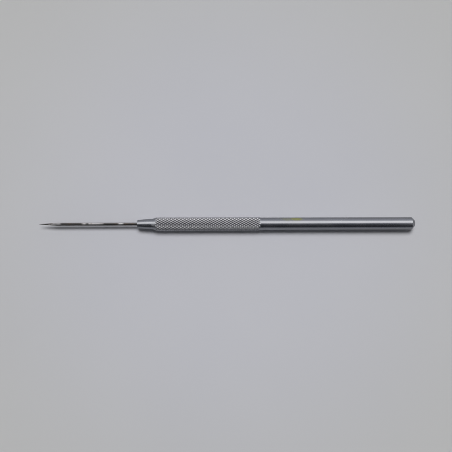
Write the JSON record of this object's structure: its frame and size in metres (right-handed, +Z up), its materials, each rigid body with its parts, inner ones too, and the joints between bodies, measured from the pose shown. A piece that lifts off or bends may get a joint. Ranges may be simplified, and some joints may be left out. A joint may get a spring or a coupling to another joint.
{
  "type": "scratch awl",
  "caption": "Slim all-metal scratch awl: a fine round steel needle in a turned handle with a tapered nose, a diamond-knurled grip and a long plain round rear end.",
  "frame": {"origin": "on the surface that the awl lies on, below its axis and halfway along its length", "axes": "+X along the awl's axis from the point to the butt, +Y across it, +Z up, away from the surface it lies on"},
  "size_m": [0.15, 0.0054, 0.0054],
  "materials": {
    "handle_aluminium": "fine turned satin",
    "needle_steel": "polished"
  },
  "bodies": {
    "root": {"handle": "handle_aluminium", "needle": "needle_steel"}
  },
  "joints": []
}
